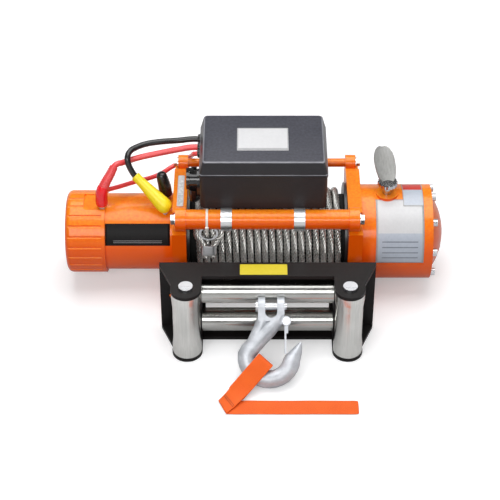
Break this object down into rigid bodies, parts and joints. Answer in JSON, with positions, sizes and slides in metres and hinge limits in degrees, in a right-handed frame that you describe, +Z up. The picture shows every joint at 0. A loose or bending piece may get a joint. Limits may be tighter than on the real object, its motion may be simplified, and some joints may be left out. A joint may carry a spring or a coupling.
{
  "type": "electric recovery winch",
  "caption": "Electric recovery winch with rope drum between motor and planetary gearbox, control box, roller fairlead and clevis hook.",
  "frame": {"origin": "centre of the four foot holes, on the plane of the feet", "axes": "+X from the motor towards the gearbox along the drum, +Y to the rear away from the fairlead, +Z up"},
  "size_m": [0.5228, 0.3727, 0.2345],
  "materials": {
    "orange_paint": "semi-gloss orange powder coat",
    "zinc_bolt": "bright zinc plate",
    "box_plastic": "moulded dark grey plastic",
    "black_plastic": "moulded black plastic",
    "black_rubber": "black rubber",
    "red_rubber": "red rubber",
    "yellow_rubber": "yellow rubber",
    "stainless": "brushed stainless strip",
    "copper_winding": "enamelled copper",
    "gear_steel": "machined steel",
    "black_gloss_paint": "gloss black paint",
    "zinc_roller": "turned and zinc plated",
    "zinc_hook": "forged and zinc plated",
    "orange_webbing": "woven polyester webbing",
    "drum_paint": "black paint",
    "steel_rope": "galvanised wire rope",
    "lever_metal": "brushed die-cast metal"
  },
  "bodies": {
    "frame": {"motor_can": "orange_paint", "motor_end_cap": "orange_paint", "motor_bracket": "orange_paint", "gear_bracket": "orange_paint", "gear_housing": "orange_paint", "gear_end_cover": "orange_paint", "front_tie_bar": "orange_paint", "rear_tie_bar": "orange_paint", "tie_bar_bolts": "zinc_bolt", "gear_cover_bolts": "zinc_bolt", "control_box_base": "box_plastic", "control_box_lid": "box_plastic", "contactor": "black_plastic", "box_straps": "stainless", "remote_socket": "black_plastic", "black_lead": "black_rubber", "thick_red_lead": "red_rubber", "thin_red_lead": "red_rubber", "black_boot": "black_rubber", "yellow_boot": "yellow_rubber", "red_boot": "red_rubber", "motor_studs": "zinc_bolt", "field_coils": "copper_winding", "motor_brushes": "black_plastic", "bearings": "gear_steel", "ring_gear": "gear_steel", "fairlead_frame": "black_gloss_paint", "roller_pins": "zinc_bolt"},
    "drum": {"drum": "drum_paint", "rope_core": "steel_rope", "wound_rope": "steel_rope", "rope_eye": "steel_rope", "rope_thimble": "zinc_bolt", "carrier_3": "gear_steel"},
    "shaft": {"drive_shaft": "gear_steel", "armature": "copper_winding", "commutator": "copper_winding", "brake_cone": "gear_steel"},
    "stage_1": {"carrier_1": "gear_steel"},
    "stage_2": {"carrier_2": "gear_steel"},
    "lever": {"clutch_lever": "lever_metal"},
    "pin": {"shift_pin": "zinc_bolt"},
    "cap": {"socket_cap": "black_rubber"},
    "left_roller": {"left_roller": "zinc_roller"},
    "right_roller": {"right_roller": "zinc_roller"},
    "upper_roller": {"upper_roller": "zinc_roller"},
    "lower_roller": {"lower_roller": "zinc_roller"},
    "hook": {"hook": "zinc_hook", "hook_pins": "zinc_bolt", "hook_strap": "orange_webbing"},
    "latch": {"hook_latch": "zinc_hook"},
    "planet_1_1": {"planet_1_1": "gear_steel"},
    "planet_1_2": {"planet_1_2": "gear_steel"},
    "planet_1_3": {"planet_1_3": "gear_steel"},
    "planet_2_1": {"planet_2_1": "gear_steel"},
    "planet_2_2": {"planet_2_2": "gear_steel"},
    "planet_2_3": {"planet_2_3": "gear_steel"},
    "planet_3_1": {"planet_3_1": "gear_steel"},
    "planet_3_2": {"planet_3_2": "gear_steel"},
    "planet_3_3": {"planet_3_3": "gear_steel"}
  },
  "joints": [
    {"name": "drum_spin", "type": "hinge", "parent": "frame", "child": "drum", "pos_m": [0, 0, 0.076], "axis": [1, 0, 0], "continuous": true},
    {"name": "shaft_spin", "type": "hinge", "parent": "frame", "child": "shaft", "pos_m": [0, 0, 0.076], "axis": [1, 0, 0], "continuous": true},
    {"name": "stage_1_spin", "type": "hinge", "parent": "frame", "child": "stage_1", "pos_m": [0.1742, 0, 0.076], "axis": [1, 0, 0], "continuous": true},
    {"name": "stage_2_spin", "type": "hinge", "parent": "frame", "child": "stage_2", "pos_m": [0.1566, 0, 0.076], "axis": [1, 0, 0], "continuous": true},
    {"name": "planet_1_1_spin", "type": "hinge", "parent": "stage_1", "child": "planet_1_1", "pos_m": [0.1742, 0, 0.10525], "axis": [1, 0, 0], "continuous": true},
    {"name": "planet_1_2_spin", "type": "hinge", "parent": "stage_1", "child": "planet_1_2", "pos_m": [0.1742, -0.02533, 0.06137], "axis": [1, 0, 0], "continuous": true},
    {"name": "planet_1_3_spin", "type": "hinge", "parent": "stage_1", "child": "planet_1_3", "pos_m": [0.1742, 0.02533, 0.06137], "axis": [1, 0, 0], "continuous": true},
    {"name": "planet_2_1_spin", "type": "hinge", "parent": "stage_2", "child": "planet_2_1", "pos_m": [0.1566, 0, 0.10525], "axis": [1, 0, 0], "continuous": true},
    {"name": "planet_2_2_spin", "type": "hinge", "parent": "stage_2", "child": "planet_2_2", "pos_m": [0.1566, -0.02533, 0.06137], "axis": [1, 0, 0], "continuous": true},
    {"name": "planet_2_3_spin", "type": "hinge", "parent": "stage_2", "child": "planet_2_3", "pos_m": [0.1566, 0.02533, 0.06137], "axis": [1, 0, 0], "continuous": true},
    {"name": "planet_3_1_spin", "type": "hinge", "parent": "drum", "child": "planet_3_1", "pos_m": [0.139, 0, 0.10525], "axis": [1, 0, 0], "continuous": true},
    {"name": "planet_3_2_spin", "type": "hinge", "parent": "drum", "child": "planet_3_2", "pos_m": [0.139, -0.02533, 0.06137], "axis": [1, 0, 0], "continuous": true},
    {"name": "planet_3_3_spin", "type": "hinge", "parent": "drum", "child": "planet_3_3", "pos_m": [0.139, 0.02533, 0.06137], "axis": [1, 0, 0], "continuous": true},
    {"name": "clutch_turn", "type": "hinge", "parent": "frame", "child": "lever", "pos_m": [0.165, 0, 0.15], "axis": [0, 0, 1], "range_deg": [-90, 0]},
    {"name": "pin_lift", "type": "slide", "parent": "frame", "child": "pin", "axis": [0, 0, 1], "range_m": [0, 0.005]},
    {"name": "socket_cap_hinge", "type": "hinge", "parent": "frame", "child": "cap", "pos_m": [-0.1, -0.026, 0.2035], "axis": [0, 1, 0], "range_deg": [0, 110]},
    {"name": "left_roller_spin", "type": "hinge", "parent": "frame", "child": "left_roller", "pos_m": [-0.1083, -0.1655, 0.05715], "axis": [0, 0, 1], "continuous": true},
    {"name": "right_roller_spin", "type": "hinge", "parent": "frame", "child": "right_roller", "pos_m": [0.1083, -0.1655, 0.05715], "axis": [0, 0, 1], "continuous": true},
    {"name": "upper_roller_spin", "type": "hinge", "parent": "frame", "child": "upper_roller", "pos_m": [0, -0.135, 0.08245], "axis": [1, 0, 0], "continuous": true},
    {"name": "lower_roller_spin", "type": "hinge", "parent": "frame", "child": "lower_roller", "pos_m": [0, -0.135, 0.03185], "axis": [1, 0, 0], "continuous": true},
    {"name": "hook_lift", "type": "slide", "parent": "frame", "child": "hook", "axis": [0, 0, 1], "range_m": [0, 0.1]},
    {"name": "latch_swing", "type": "hinge", "parent": "hook", "child": "latch", "pos_m": [0.0245, -0.17723, 0.06645], "axis": [0, -0.7071, 0.7071], "range_deg": [-20, 0], "stiffness_Nm_per_rad": 0.02, "springref_deg": 17.19}
  ],
  "couplings": [
    {"joint": "shaft_spin", "follows": "drum_spin", "ratio": 274.62},
    {"joint": "stage_1_spin", "follows": "drum_spin", "ratio": 42.25},
    {"joint": "stage_2_spin", "follows": "drum_spin", "ratio": 6.5},
    {"joint": "planet_1_1_spin", "follows": "drum_spin", "ratio": -103.28},
    {"joint": "planet_1_2_spin", "follows": "drum_spin", "ratio": -103.28},
    {"joint": "planet_1_3_spin", "follows": "drum_spin", "ratio": -103.28},
    {"joint": "planet_2_1_spin", "follows": "drum_spin", "ratio": -15.889},
    {"joint": "planet_2_2_spin", "follows": "drum_spin", "ratio": -15.889},
    {"joint": "planet_2_3_spin", "follows": "drum_spin", "ratio": -15.889},
    {"joint": "planet_3_1_spin", "follows": "drum_spin", "ratio": -2.4444},
    {"joint": "planet_3_2_spin", "follows": "drum_spin", "ratio": -2.4444},
    {"joint": "planet_3_3_spin", "follows": "drum_spin", "ratio": -2.4444},
    {"joint": "pin_lift", "follows": "clutch_turn", "m_per_rad": -0.0031831}
  ]
}
